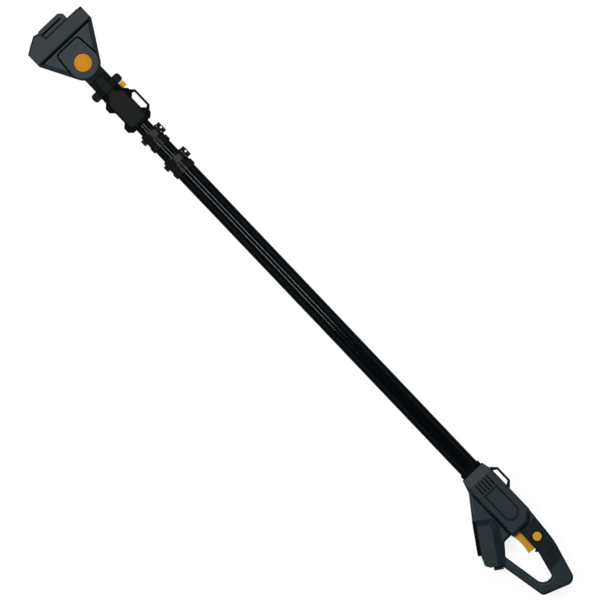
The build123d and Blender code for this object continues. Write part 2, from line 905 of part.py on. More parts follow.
with BuildPart() as coupler_socket:
    with BuildSketch(across(inner_tube_x - socket_flange)):
        Circle(spigot_radius)
    extrude(amount=socket_flange)
    with BuildSketch(across(inner_tube_x)):
        Circle(inner_tube_radius - tube_wall)
    extrude(amount=plug_length)
    with BuildSketch(across(inner_tube_x - socket_flange)):
        with Locations(*pin_places):
            Circle(pin_radius + slide_clearance)
    extrude(amount=pin_engagement + part_gap, mode=Mode.SUBTRACT)
write(coupler_socket, "coupler_socket")

release_foot = spigot_radius + release_travel + part_gap
with BuildPart() as release_button:
    with BuildSketch(COUPLER):
        with Locations((release_start, release_foot)):
            Rectangle(release_length, coupler_half + release_rise - release_foot, align=(Align.MIN, Align.MIN))
    extrude(amount=release_width / 2, both=True)
    fillet(release_button.faces().sort_by(Axis.Y)[-1].edges(), release_round)
write(release_button, "release_button")


# Strap eyes: bridge-shaped loops on the coupler and on the handle
def strap_eye(plane, start, span, rise):
    slope = rise
    with BuildPart() as eye:
        with BuildSketch(plane):
            with BuildLine():
                Polyline(
                    (start, 0),
                    (start + slope, rise),
                    (start + span - slope, rise),
                    (start + span, 0),
                    (start + span - 2 * eye_bar, 0),
                    (start + span - slope - eye_bar / 2, rise - eye_bar),
                    (start + slope + eye_bar / 2, rise - eye_bar),
                    (start + 2 * eye_bar, 0),
                    close=True,
                )
            make_face()
        extrude(amount=eye_width / 2, both=True)
        fillet(eye.faces().sort_by(Axis.Y)[-1].edges(), eye_bar / 4)
    return eye


front_eye_start = flange_one + flange_slope + shell_wall
front_eye_end = flange_two + flange_length - flange_slope - shell_wall
write(
    strap_eye(side_plane(coupler_x, flange_half), front_eye_start, front_eye_end - front_eye_start, front_eye_rise),
    "front_strap_eye",
)
write(strap_eye(side_plane(body_x, body_top), rear_eye_start, rear_eye_span, rear_eye_rise), "rear_strap_eye")


# Handle: two half shells, each a flat frame with a D-shaped grip and a deep body round the outer tube
loop_end = body_length + grip_length
sleeve_middle = body_length + (sleeve_start + sleeve_end) / 2
lock_spot = (body_length + lock_forward, lock_rise)
trigger_pivot = (body_length - trigger_pivot_back, -trigger_pivot_drop)
trigger_lift = trigger_reach * sin(radians(trigger_turn))
board_bay = bay_start + 2 * (bay_length + rib_thickness) + shell_wall
board_length = body_length - body_shoulder - board_bay
board_rise = body_top - body_shoulder_drop
handle_spots = (
    (bay_start + bay_length + rib_thickness / 2, body_top - 2 * shell_wall),
    (bay_start + bay_length + rib_thickness / 2, 2 * shell_wall - body_bottom),
    (body_length - body_shoulder, body_top - boss_inset),
    (loop_end - bow_wall / 2, -bow_wall / 2),
    (loop_end - bow_wall, -heel_drop + 2 * shell_wall),
    (dock_forward - 2 * shell_wall, -gusset_drop - boss_inset),
)


def handle_frame():
    """Side outline of the body, the D-shaped grip and the gusset, with the hand opening, above the dock."""
    with BuildLine() as outline:
        FilletPolyline(
            (0, -mouth_half),
            (0, mouth_half),
            (mouth_taper, body_top),
            (body_length - mouth_half, body_top),
            (body_length + grip_crown_forward, grip_crown),
            (loop_end + bow_overhang, 0),
            (loop_end - heel_inset, -heel_drop),
            (body_length, -bar_foot),
            (dock_forward, -dock_drop),
            (mouth_taper + rib_thickness, -gusset_drop),
            radius=(0, 0, body_round, grip_sweep, grip_sweep, bow_round, heel_round, 0, 0, body_round),
            close=True,
        )
    make_face(outline.edges())
    with BuildLine() as opening:
        FilletPolyline(
            (body_length - shell_wall, -opening_top),
            (body_length - shell_wall, -opening_side),
            (body_length + mouth_taper, -opening_foot),
            (loop_end - bow_wall, -bar_rise),
            (loop_end - bow_wall, -bow_drop),
            (body_length + trigger_reach + bow_back, -finger_rise),
            radius=(shell_wall, body_round, body_round, opening_round, body_round, bow_back),
            close=True,
        )
    make_face(opening.edges(), mode=Mode.SUBTRACT)
    with Locations(Location((dock_forward, -dock_drop), -dock_slant)):
        Polygon(
            (0, -dock_depth),
            (2 * dock_length, -dock_depth),
            (2 * dock_length, dock_depth),
            (dock_corner, dock_depth),
            (0, dock_shoulder),
            align=None,
            mode=Mode.SUBTRACT,
        )


def trigger_room():
    """Outline of the slot that the trigger swings in."""
    with Locations((body_length - 2 * trigger_boss - shell_wall / 2, trigger_boss - trigger_pivot_drop)):
        Rectangle(
            trigger_reach + 2 * trigger_boss + 2 * shell_wall,
            2 * trigger_boss,
            align=(Align.MIN, Align.MAX),
        )
    with Locations((body_length - shell_wall, trigger_lift + shell_wall / 2 - trigger_pivot_drop)):
        Rectangle(trigger_reach + 2 * shell_wall, trigger_hang, align=(Align.MIN, Align.MAX))


def sleeve_zone():
    with Locations((sleeve_middle, 0)):
        Rectangle(sleeve_end - sleeve_start, 2 * bow_wall - 2 * shell_wall, mode=Mode.INTERSECT)


def label_outline(inset):
    """Plate outline on the body's side, with its two rear corners cut off."""
    front = label_start + inset
    back = label_start + label_length - inset
    side = label_half - inset
    Polygon(
        (front, -side),
        (back - label_cut, -side),
        (back, label_cut - side),
        (back, side - label_cut),
        (back - label_cut, side),
        (front, side),
        align=None,
    )


def handle_half():
    with BuildPart() as half:
        with BuildSketch(HANDLE):
            handle_frame()
        extrude(amount=frame_half)
        rims = [(edge, DOCK.to_local_coords(edge.center())) for edge in half.edges().group_by(Axis.Z)[-1]]
        fillet([edge for edge, spot in rims if spot.X < -part_gap or spot.Y > dock_depth + part_gap], frame_round)
        with BuildSketch(HANDLE):
            with Locations((sleeve_middle, 0)):
                Rectangle(sleeve_end - sleeve_start, 2 * bow_wall - 2 * shell_wall)
        extrude(amount=frame_half, mode=Mode.SUBTRACT)
        with BuildSketch(HANDLE):
            handle_frame()
            offset(amount=-sleeve_thickness)
            sleeve_zone()
        extrude(amount=frame_half - sleeve_thickness)
        with BuildSketch(HANDLE):
            with BuildLine():
                Polyline(
                    (0, mouth_half),
                    (mouth_taper, body_top),
                    (body_length - body_shoulder, body_top),
                    (body_length, body_top - body_shoulder_drop),
                    (body_length, -body_bottom),
                    (mouth_taper, -body_bottom),
                    (0, -mouth_half),
                    close=True,
                )
            make_face()
        extrude(amount=body_half)
        fillet(half.edges().group_by(Axis.Z)[-1], body_round)
        with BuildSketch(Plane((body_x, axis_y, mid_z), x_dir=(1, 0, 0), z_dir=(0, -1, 0))):
            with BuildLine():
                Polyline(
                    (-shell_wall, mouth_depth - shell_wall * (body_half - mouth_depth) / mouth_taper),
                    (mouth_taper, body_half),
                    (-shell_wall, body_half),
                    close=True,
                )
            make_face()
        extrude(amount=2 * body_top, both=True, mode=Mode.SUBTRACT)
        with BuildSketch(across(body_x)):
            Circle(outer_tube_radius)
        extrude(amount=outer_tube_end - body_x, mode=Mode.SUBTRACT)
        with BuildSketch(across(body_x)):
            Circle(mouth_collar_radius - running_clearance - edge_break)
        extrude(amount=mouth_collar_seat, mode=Mode.SUBTRACT)
        with BuildSketch(HANDLE):
            for bay in range(2):
                with Locations((bay_start + bay_length / 2 + bay * (bay_length + rib_thickness), 0)):
                    Rectangle(bay_length, 2 * (body_bottom - shell_wall))
            with Locations((board_bay + board_length / 2, (board_rise - body_bottom) / 2 + shell_wall)):
                Rectangle(board_length, board_rise + body_bottom - 2 * shell_wall)
        extrude(amount=body_half - shell_wall, mode=Mode.SUBTRACT)
        with BuildSketch(HANDLE):
            trigger_room()
        extrude(amount=trigger_width / 2 + part_gap, mode=Mode.SUBTRACT)
        with BuildSketch(HANDLE):
            with Locations(trigger_pivot):
                Circle(trigger_pin_radius)
        extrude(amount=frame_half - shell_wall, mode=Mode.SUBTRACT)
        with BuildSketch(HANDLE.offset(body_half)):
            with Locations((mouth_taper + vent_length / 2 + shell_wall, 0)):
                with GridLocations(1, vent_pitch, 1, vent_count):
                    SlotOverall(vent_length, vent_width)
        extrude(amount=-vent_depth, mode=Mode.SUBTRACT)
        with BuildSketch(HANDLE.offset(body_half)):
            label_outline(0.0)
        extrude(amount=-label_depth, mode=Mode.SUBTRACT)
        with BuildSketch(HANDLE.offset(body_half)):
            label_outline(label_groove)
        extrude(amount=-label_depth)
    return half


lock_floor = frame_half + lock_proud - lock_height - lock_travel
switch_spot = (body_length + switch_setback, switch_rise)
switch_size = (switch_length, switch_height)
handle_shape = handle_half()
with BuildPart() as handle_shell_near:
    add(handle_shape.part)
    with BuildSketch(HANDLE.offset(lock_floor)):
        with Locations(lock_spot):
            Circle(lock_radius + slide_clearance)
    extrude(amount=frame_half, mode=Mode.SUBTRACT)
    with BuildSketch(HANDLE):
        with Locations(switch_spot):
            Rectangle(*switch_size)
    extrude(amount=trigger_width / 2, mode=Mode.SUBTRACT)
    cut_pilot_holes(HANDLE, handle_spots)
with BuildPart() as handle_shell_far:
    mirror(handle_shape.part, about=MIDDLE)
    with BuildSketch(HANDLE):
        with Locations(switch_spot):
            Rectangle(*switch_size)
    extrude(amount=-trigger_width / 2, mode=Mode.SUBTRACT)
    cut_screw_seats(HANDLE, handle_spots, pack_width)
write(handle_shell_near, "handle_shell_near")
write(handle_shell_far, "handle_shell_far")
write(screw_group(HANDLE, handle_spots), "handle_screws")

with BuildPart() as grip_sleeve:
    with BuildSketch(HANDLE):
        handle_frame()
        sleeve_zone()
    extrude(amount=frame_half, both=True)
    for rim in (0, -1):
        edges = grip_sleeve.edges().group_by(Axis.Z)[rim]
        fillet([edge for edge in edges if edge not in edges.filter_by(Axis.Y)], frame_round)
    with BuildSketch(HANDLE):
        handle_frame()
        offset(amount=-sleeve_thickness)
        sleeve_zone()
    extrude(amount=frame_half - sleeve_thickness, both=True, mode=Mode.SUBTRACT)
    with BuildSketch(HANDLE):
        with BuildLine():
            Polyline(
                (body_length + trigger_reach + bow_back, -finger_rise + sleeve_thickness / 2),
                (body_length + trigger_reach + bow_back, -finger_rise),
                (body_length + trigger_reach + 2 * shell_wall, -finger_stop),
                (body_length + trigger_reach + shell_wall, -opening_top),
                (body_length + trigger_reach + shell_wall, -opening_top + sleeve_thickness / 2),
                close=True,
            )
        make_face()
    extrude(amount=frame_half - frame_round, both=True)
    with BuildSketch(HANDLE):
        trigger_room()
    extrude(amount=trigger_width / 2 + part_gap, both=True, mode=Mode.SUBTRACT)
    with BuildSketch(HANDLE):
        with Locations(lock_spot):
            Circle(lock_radius + lock_ring_wall)
    extrude(amount=frame_half, mode=Mode.SUBTRACT)
write(grip_sleeve, "grip_sleeve")

with BuildPart() as mouth_collar:
    with BuildSketch(across(body_x - mouth_collar_lip)):
        Circle(mouth_collar_radius)
        Circle(outer_tube_radius, mode=Mode.SUBTRACT)
    extrude(amount=mouth_collar_lip)
    chamfer(mouth_collar.edges().group_by(Axis.X)[0].sort_by(SortBy.RADIUS)[-1], edge_break)
    with BuildSketch(across(body_x)):
        Circle(mouth_collar_radius - running_clearance - edge_break)
        Circle(outer_tube_radius, mode=Mode.SUBTRACT)
    extrude(amount=mouth_collar_seat)
write(mouth_collar, "mouth_collar")

with BuildPart() as control_board:
    with BuildSketch(HANDLE.offset(shell_wall - body_half)):
        with Locations((board_bay + board_length / 2, (board_rise - body_bottom) / 2 + shell_wall)):
            Rectangle(board_length - 2 * part_gap, board_rise + body_bottom - 2 * shell_wall - 2 * part_gap)
    extrude(amount=board_thickness)
write(control_board, "control_board")

# Trigger: hinged at its front end, with a hollowed finger face
with BuildPart() as trigger:
    with BuildSketch(HANDLE):
        with BuildLine():
            Polyline(
                (body_length + trigger_reach, -trigger_hang),
                (body_length + trigger_reach + shell_wall / 2, -opening_top),
                (body_length + trigger_reach - trigger_boss, -trigger_pivot_drop),
                (body_length - trigger_pivot_back, trigger_boss - trigger_pivot_drop - part_gap),
                (body_length - trigger_pivot_back, -trigger_pivot_drop),
                (body_length - part_gap, -opening_top),
                (body_length - part_gap, -trigger_hang),
            )
            ThreePointArc(
                (body_length - part_gap, -trigger_hang),
                (body_length + trigger_reach / 2, -trigger_hang + shell_wall),
                (body_length + trigger_reach, -trigger_hang),
            )
        make_face()
        with Locations(trigger_pivot):
            Circle(trigger_boss - part_gap)
            Circle(trigger_pin_radius + running_clearance, mode=Mode.SUBTRACT)
    extrude(amount=trigger_width / 2, both=True)
    fillet(trigger.edges().filter_by(GeomType.CIRCLE).group_by(Axis.Y)[0], shell_wall / 2)
write(trigger, "trigger")

with BuildPart() as trigger_pin:
    with BuildSketch(HANDLE):
        with Locations(trigger_pivot):
            Circle(trigger_pin_radius)
    extrude(amount=frame_half - shell_wall, both=True)
write(trigger_pin, "trigger_pin")

with BuildPart() as trigger_switch:
    with BuildSketch(HANDLE):
        with Locations(switch_spot):
            Rectangle(*switch_size)
    extrude(amount=trigger_width / 2, both=True)
write(trigger_switch, "trigger_switch")

with BuildPart() as lock_off_button:
    with BuildSketch(HANDLE.offset(lock_floor + lock_travel)):
        with Locations(lock_spot):
            Circle(lock_radius)
    extrude(amount=lock_height)
    fillet(lock_off_button.edges().group_by(Axis.Z)[-1], lock_round)
write(lock_off_button, "lock_off_button")

with BuildPart() as lock_off_ring:
    with BuildSketch(HANDLE.offset(frame_half - sleeve_thickness)):
        with Locations(lock_spot):
            Circle(lock_radius + lock_ring_wall)
            Circle(lock_radius + slide_clearance, mode=Mode.SUBTRACT)
    extrude(amount=sleeve_thickness + lock_ring_height)
    chamfer(lock_off_ring.edges().group_by(Axis.Z)[-1], lock_ring_height / 2)
write(lock_off_ring, "lock_off_ring")

with BuildPart() as lock_off_spring:
    with BuildSketch(HANDLE.offset(lock_floor)):
        with Locations(lock_spot):
            Circle(lock_radius / 2 + spring_wall)
            Circle(lock_radius / 2, mode=Mode.SUBTRACT)
    extrude(amount=lock_travel)
write(lock_off_spring, "lock_off_spring")

# Battery dock: a wide foot under the gusset, with hooked rails that a pack's slide runs between
rail_outside = dock_channel_half + dock_rail_wall
with BuildPart() as dock_housing:
    with BuildSketch(DOCK):
        with BuildLine():
            Polyline(
                (0, dock_rail_height),
                (dock_length - dock_toe - dock_toe_run, dock_rail_height),
                (dock_length - dock_toe, dock_rail_height + dock_toe_rise),
                (dock_length, dock_rail_height + dock_heel_rise),
                (dock_length, dock_depth),
                (dock_corner, dock_depth),
                (0, dock_shoulder),
                close=True,
            )
        make_face()
    extrude(amount=pack_width / 2, both=True)
    for rim in (0, -1):
        edges = dock_housing.edges().group_by(Axis.Z)[rim]
        middles = [(edge, DOCK.to_local_coords(edge.center())) for edge in edges]
        chamfer([edge for edge, spot in middles if spot.Y > dock_heel_rise and spot.X < dock_length - dock_toe], dock_bevel)
    with BuildSketch(DOCK):
        with Locations((dock_length, dock_rail_height + dock_tail_rise)):
            Rectangle(dock_tail, dock_depth - dock_rail_height - dock_tail_rise, align=(Align.MIN, Align.MIN))
    extrude(amount=dock_tail_half, both=True)
    with BuildSketch(DOCK):
        with Locations((dock_end_wall, dock_rail_height)):
            Rectangle(dock_length, dock_channel_depth, align=(Align.MIN, Align.MIN))
    extrude(amount=dock_channel_half, both=True, mode=Mode.SUBTRACT)
    with BuildSketch(DOCK):
        with Locations((dock_bevel, dock_depth)):
            Rectangle(
                dock_length - 2 * dock_bevel,
                dock_depth - dock_rail_height - dock_channel_depth - shell_wall,
                align=(Align.MIN, Align.MAX),
            )
    extrude(amount=frame_half - frame_round - shell_wall, both=True, mode=Mode.SUBTRACT)
write(dock_housing, "dock_housing")

with BuildPart() as dock_rails:
    with BuildSketch(DOCK):
        Rectangle(dock_rail_length, dock_rail_height, align=(Align.MIN, Align.MIN))
    extrude(amount=rail_outside, both=True)
    with BuildSketch(DOCK):
        with Locations((dock_end_wall, 0)):
            Rectangle(dock_length, dock_rail_height, align=(Align.MIN, Align.MIN))
    extrude(amount=dock_channel_half - dock_lip, both=True, mode=Mode.SUBTRACT)
    with BuildSketch(DOCK):
        with Locations((dock_end_wall, dock_lip_height)):
            Rectangle(dock_length, dock_rail_height, align=(Align.MIN, Align.MIN))
    extrude(amount=dock_channel_half, both=True, mode=Mode.SUBTRACT)
write(dock_rails, "dock_rails")

with BuildPart() as dock_terminal:
    with BuildSketch(DOCK):
        with Locations((dock_end_wall, dock_rail_height)):
            Rectangle(terminal_length, dock_channel_depth, align=(Align.MIN, Align.MIN))
    extrude(amount=terminal_half, both=True)
write(dock_terminal, "dock_terminal")

with BuildPart() as dock_contacts:
    for row in contact_rows:
        with BuildSketch(DOCK.offset(row - contact_thickness / 2)):
            with Locations((dock_end_wall + terminal_length, dock_rail_height + slot_clearance)):
                Rectangle(contact_length, dock_channel_depth - 2 * slot_clearance, align=(Align.MIN, Align.MIN))
        extrude(amount=contact_thickness)
write(dock_contacts, "dock_contacts")
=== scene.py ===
"""Looks of a telescoping tool pole: moulded plastics, coated tubes, rubber grip, fine fittings, light and camera.

Places and sizes on the pole are in millimetres, and MM turns them into metres. The studio is in metres.
"""
import json
import math

import bmesh
import bpy
import numpy as np
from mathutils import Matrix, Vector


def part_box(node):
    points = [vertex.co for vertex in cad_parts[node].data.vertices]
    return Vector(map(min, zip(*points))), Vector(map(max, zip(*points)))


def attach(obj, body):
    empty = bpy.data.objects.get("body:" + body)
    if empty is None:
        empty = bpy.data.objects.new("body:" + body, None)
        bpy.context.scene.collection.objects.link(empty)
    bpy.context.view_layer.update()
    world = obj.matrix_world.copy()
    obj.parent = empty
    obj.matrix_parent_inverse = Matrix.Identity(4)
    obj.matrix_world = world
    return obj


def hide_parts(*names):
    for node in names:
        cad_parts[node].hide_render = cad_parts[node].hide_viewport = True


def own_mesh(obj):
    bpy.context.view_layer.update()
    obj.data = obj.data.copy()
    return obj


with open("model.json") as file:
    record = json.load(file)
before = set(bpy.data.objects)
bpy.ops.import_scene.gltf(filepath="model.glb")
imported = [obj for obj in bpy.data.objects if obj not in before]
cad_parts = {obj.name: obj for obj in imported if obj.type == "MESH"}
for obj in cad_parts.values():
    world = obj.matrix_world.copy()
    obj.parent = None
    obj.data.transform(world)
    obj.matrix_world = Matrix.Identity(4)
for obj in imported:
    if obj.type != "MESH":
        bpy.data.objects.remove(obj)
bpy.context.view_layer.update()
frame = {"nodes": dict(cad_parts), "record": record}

MM = 0.001


class Wire:
    """A node socket that works in Python expressions; every operator adds one Math node behind it."""

    def __init__(self, tree, socket):
        self.tree = tree
        self.socket = socket

    def add(self, kind, inputs, output=0, **settings):
        """Adds any node: its settings first, then the values or links of its inputs."""
        node = self.tree.nodes.new("ShaderNode" + kind)
        for name, value in settings.items():
            setattr(node, name, value)
        for key, value in inputs.items():
            if isinstance(value, Wire):
                self.tree.links.new(value.socket, node.inputs[key])
            else:
                node.inputs[key].default_value = value
        return Wire(self.tree, node.outputs[output])

    def math(self, operation, first, second):
        """One Math node on two wires or numbers."""
        return self.add("Math", {0: first, 1: second}, operation=operation)

    def __add__(self, other):
        return self.math("ADD", self, other)

    def __sub__(self, other):
        return self.math("SUBTRACT", self, other)

    def __rsub__(self, other):
        return self.math("SUBTRACT", other, self)

    def __mul__(self, other):
        return self.math("MULTIPLY", self, other)

    __radd__ = __add__
    __rmul__ = __mul__


def shade(colour, factor):
    """The colour times a factor, with the alpha that a colour socket takes."""
    return (*[channel * factor for channel in colour], 1.0)


class Finish:
    """One material: its Principled shader, the piece's own coordinates, and the textures the finishes share."""

    CORNER_RAYS = 12

    def __init__(self, name, **constants):
        self.material = bpy.data.materials.new(name)
        self.material.use_nodes = True
        tree = self.material.node_tree
        self.shader = tree.nodes["Principled BSDF"]
        for socket, value in constants.items():
            self.shader.inputs[socket.replace("_", " ")].default_value = value
        start = Wire(tree, None)
        self.place = start.add("TexCoord", {}, output="Object")

    def noise(self, grain_mm, detail=2.0, stretch=(1.0, 1.0, 1.0)):
        """Noise from 0 to 1 with features of the given size. A stretch under 1 draws them out along that axis."""
        place = self.place.add("Mapping", {"Vector": self.place, "Scale": stretch})
        inputs = {"Vector": place, "Scale": 1 / (grain_mm * MM), "Detail": detail}
        return place.add("TexNoise", inputs, output="Fac")

    def band(self, value, low, high):
        """0 below low, 1 above high and smooth between them."""
        inputs = {"Value": value, "From Min": low, "From Max": high}
        return value.add("MapRange", inputs, interpolation_type="SMOOTHSTEP")

    def mix(self, mask, first, second):
        """Colour that goes from the first to the second as the mask goes from 0 to 1."""
        return mask.add("Mix", {"Factor": mask, "A": first, "B": second}, output="Result", data_type="RGBA")

    def tint(self, mask, colour, start, end):
        """One colour that goes from start times itself to end times itself as the mask goes from 0 to 1."""
        return self.mix(mask, shade(colour, start), shade(colour, end))

    def openness(self, reach_mm, inside=False):
        """1 on open flat ground, falling to 0 in a corner: in a groove, or behind an outer edge when taken inside."""
        settings = {"samples": self.CORNER_RAYS, "inside": inside, "only_local": True}
        return self.place.add("AmbientOcclusion", {"Distance": reach_mm * MM}, output="AO", **settings)

    def feed(self, **links):
        """Links wires to the shader's sockets, named with an underscore for each space."""
        for socket, wire in links.items():
            wire.tree.links.new(wire.socket, self.shader.inputs[socket.replace("_", " ")])

    def relief(self, height, depth_mm):
        """Bump whose full height is the given depth."""
        inputs = {"Height": height, "Distance": depth_mm * MM, "Strength": 1.0}
        self.feed(Normal=height.add("Bump", inputs, output="Normal"))


# Finishes. A level is the strength of the sheen, 0.5 on plain plastic, and a share is how strongly a mask shows.
NOISE_MIDDLE = 0.5
ALONG_POLE = (0.01, 1.0, 1.0)
ALONG_STRIP = (0.1, 1.0, 1.0)
ALONG_SCUFF = (0.25, 1.0, 1.0)
UP_SCREW = (1.0, 1.0, 0.1)


def moulded_plastic(name, colour, rough, level, spark_depth=0.035, handling=0.12, groove_shade=0.12):
    """Moulded plastic: spark-eroded grain, mould clouds, edges rubbed bright and faint scuffs. Grooves and corners
    get
    painted shade: a darker colour, and a dull metal there that takes their sheen away."""
    worn_tint, spark_tint = 1.9, 0.55
    edge_share, spark_share = 0.5, 0.16
    cloud_rough, scuff_gloss, spark_rough, groove_rough = 0.10, 0.10, 0.06, 0.9
    finish = Finish(name, Specular_IOR_Level=level)
    cloud = finish.noise(grain_mm=26.0)
    spark = finish.noise(grain_mm=0.55, detail=3.0)
    scuff = finish.band(finish.noise(grain_mm=5.0, detail=5.0, stretch=ALONG_SCUFF), low=0.58, high=0.72)
    # Painted shade: this mask darkens the colour in grooves and corners, where shade falls, and takes their sheen
    # away
    groove = 1 - finish.band(finish.openness(reach_mm=7.0), low=0.48, high=0.84)
    edge = 1 - finish.band(finish.openness(reach_mm=0.9, inside=True), low=0.40, high=0.85)
    rubbed = edge * finish.band(cloud, low=0.35, high=0.65)
    base = finish.tint(cloud, colour, start=0.88, end=1.10)
    worn = finish.mix(scuff * handling + rubbed * (edge_share * handling), base, shade(colour, worn_tint))
    speckled = finish.mix(spark * spark_share, worn, shade(colour, spark_tint))
    uneven = rough + cloud_rough * (cloud - NOISE_MIDDLE) - scuff_gloss * scuff
    finish.feed(
        # The groove mask paints shade: dark base colour, high roughness and metallic without gloss in the grooves
        Base_Color=finish.mix(groove, speckled, shade(colour, groove_shade)),
        Roughness=uneven + spark_rough * (spark - NOISE_MIDDLE) + (groove_rough - rough) * groove,
        Metallic=groove,
    )
    finish.relief(spark, spark_depth)
    return finish.material


def coated_tube(name, colour):
    """Gloss black coat on drawn tube: faint draw lines along the pole, orange peel and a little dust."""
    gloss, line_rough, dust_rough = 0.05, 0.03, 0.04
    line_relief, peel_relief = 0.7, 0.3
    dust_share, dust_colour = 0.10, (0.02, 0.023, 0.025, 1.0)
    finish = Finish(name, Specular_IOR_Level=0.055)
    lines = finish.noise(grain_mm=1.6, detail=3.0, stretch=ALONG_POLE)
    peel = finish.noise(grain_mm=3.2)
    dust = finish.band(finish.noise(grain_mm=9.0, detail=6.0), low=0.55, high=0.80)
    base = finish.tint(lines, colour, start=0.8, end=1.3)
    finish.feed(
        Base_Color=finish.mix(dust * dust_share, base, dust_colour),
        Roughness=gloss + line_rough * lines + dust_rough * dust,
    )
    finish.relief(line_relief * lines + peel_relief * peel, depth_mm=0.004)
    return finish.material


def soft_rubber(name, colour):
    """Soft over-moulded rubber: matt, with a fine leathery pebble and paler rubbed patches."""
    matt, rubbed_gloss, pebble_rough = 0.72, 0.12, 0.08
    rubbed_share, rubbed_tint, pebble_mm = 0.35, 1.7, 1.1
    finish = Finish(name, Specular_IOR_Level=0.15)
    inputs = {"Vector": finish.place, "Scale": 1 / (pebble_mm * MM)}
    pebble = finish.place.add("TexVoronoi", inputs, output="Distance", feature="F1")
    rubbed = finish.band(finish.noise(grain_mm=18.0, detail=4.0), low=0.50, high=0.72)
    base = finish.tint(pebble, colour, start=1.12, end=0.82)
    finish.feed(
        Base_Color=finish.mix(rubbed * rubbed_share, base, shade(colour, rubbed_tint)),
        Roughness=matt - rubbed_gloss * rubbed + pebble_rough * pebble,
    )
    finish.relief(1 - pebble, depth_mm=0.09)
    return finish.material


def plated_steel(name, colour):
    """Zinc-plated steel: fine turning marks and dull spangle."""
    bright, spangle_rough, turned_rough = 0.26, 0.2, 0.1
    finish = Finish(name, Metallic=1.0)
    turned = finish.noise(grain_mm=0.5, stretch=UP_SCREW)
    spangle = finish.noise(grain_mm=2.5, detail=4.0)
    finish.feed(
        Base_Color=finish.tint(spangle, colour, start=0.8, end=1.1),
        Roughness=bright + spangle_rough * spangle + turned_rough * turned,
    )
    finish.relief(turned, depth_mm=0.01)
    return finish.material


def contact_metal(name, colour):
    """Brass contact strip: rolled grain with tarnish."""
    bright, tarnish_rough, tarnish_share = 0.25, 0.3, 0.6
    finish = Finish(name, Metallic=1.0)
    rolled = finish.noise(grain_mm=0.8, stretch=ALONG_STRIP)
    tarnish = finish.band(finish.noise(grain_mm=4.0, detail=5.0), low=0.45, high=0.75)
    finish.feed(
        Base_Color=finish.tint(tarnish * tarnish_share, colour, start=1.0, end=0.45),
        Roughness=bright + tarnish_rough * tarnish,
    )
    finish.relief(rolled, depth_mm=0.008)
    return finish.material


def board_laminate(name, colour):
    """Circuit board laminate: green lacquer with a fine weave."""
    lacquer, weave_rough, weave_mm, weave_waver = 0.35, 0.1, 3.0, 1.5
    finish = Finish(name, Coat_Weight=0.3)
    inputs = {"Vector": finish.place, "Scale": 1 / (weave_mm * MM), "Distortion": weave_waver}
    weave = finish.place.add("TexWave", inputs, output="Fac")
    finish.feed(
        Base_Color=finish.tint(weave, colour, start=0.8, end=1.2),
        Roughness=lacquer + weave_rough * weave,
    )
    finish.relief(weave, depth_mm=0.02)
    return finish.material


# On the buttons the painted shade in grooves is lighter, half their colour
BUTTON_MOULD = {"rough": 0.40, "spark_depth": 0.015, "handling": 0.05, "groove_shade": 0.5}
finishes = {
    "slate_plastic": moulded_plastic("slate_plastic", (0.0056, 0.0148, 0.0200), rough=0.43, level=0.24),
    "black_plastic": moulded_plastic("black_plastic", (0.0066, 0.0075, 0.0077), rough=0.40, level=0.044),
    "grey_plastic": moulded_plastic("grey_plastic", (0.0078, 0.0086, 0.0086), rough=0.42, level=0.042),
    "clamp_plastic": moulded_plastic(
        "clamp_plastic", (0.0058, 0.0066, 0.0072), rough=0.28, level=0.06, spark_depth=0.01
    ),
    "yellow_plastic": moulded_plastic("yellow_plastic", (0.58, 0.310, 0.016), level=0.12, **BUTTON_MOULD),
    "inner_plastic": moulded_plastic("inner_plastic", (0.016, 0.016, 0.017), rough=0.55, level=0.3),
    "black_tube": coated_tube("black_tube", (0.0013, 0.0022, 0.0028)),
    "grip_rubber": soft_rubber("grip_rubber", (0.0046, 0.0098, 0.0125)),
    "steel": plated_steel("steel", (0.55, 0.55, 0.56)),
    "contact_brass": contact_metal("contact_brass", (0.72, 0.50, 0.22)),
    "circuit_board": board_laminate("circuit_board", (0.02, 0.12, 0.05)),
}
matt_black = moulded_plastic("matt_black", (0.0030, 0.0034, 0.0036), rough=0.62, level=0.02)
amber_plastic = moulded_plastic("amber_plastic", (0.56, 0.225, 0.002), level=0.10, **BUTTON_MOULD)
plate_plastic = moulded_plastic(
    "plate_plastic", (0.0056, 0.0150, 0.0212), rough=0.40, level=0.24, spark_depth=0.006
)

MATT_NODES = ("coupler_shell_near", "coupler_shell_far", "dock_rails", "mouth_collar")
own_finish = {**dict.fromkeys(MATT_NODES, matt_black), "pivot_button": amber_plastic}
for row in frame["record"]["subparts"]:
    shown = frame["nodes"][row["node"]].data.materials
    shown.clear()
    shown.append(own_finish.get(row["node"], finishes[row["material_slot"]]))


# Fine fittings
MERGE_METRES = 1e-6


def surface_piece(name, grids, body, finish):
    """Closed piece of one or more grids of points: rows run along a path, columns go all the way round it, and rows
    that shrink to a point or a line are merged there."""
    count, across = grids[0].shape[:2]
    first = np.arange(count * across).reshape(count, across)
    beside = np.roll(first, -1, axis=1)
    quads = np.stack([first[:-1], beside[:-1], beside[1:], first[1:]], axis=-1).reshape(-1, 4)
    faces = np.concatenate([quads + number * count * across for number in range(len(grids))])
    points = np.concatenate([grid.reshape(-1, 3) for grid in grids]) * MM
    mesh = bpy.data.meshes.new(name)
    mesh.from_pydata(points.tolist(), [], faces.tolist())
    shape = bmesh.new()
    shape.from_mesh(mesh)
    bmesh.ops.remove_doubles(shape, verts=shape.verts, dist=MERGE_METRES)
    bmesh.ops.recalc_face_normals(shape, faces=shape.faces)
    shape.to_mesh(mesh)
    shape.free()
    mesh.polygons.foreach_set("use_smooth", np.ones(len(mesh.polygons), bool))
    mesh.materials.append(finish)
    piece = bpy.data.objects.new(name, mesh)
    bpy.context.scene.collection.objects.link(piece)
    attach(piece, body)
    return piece


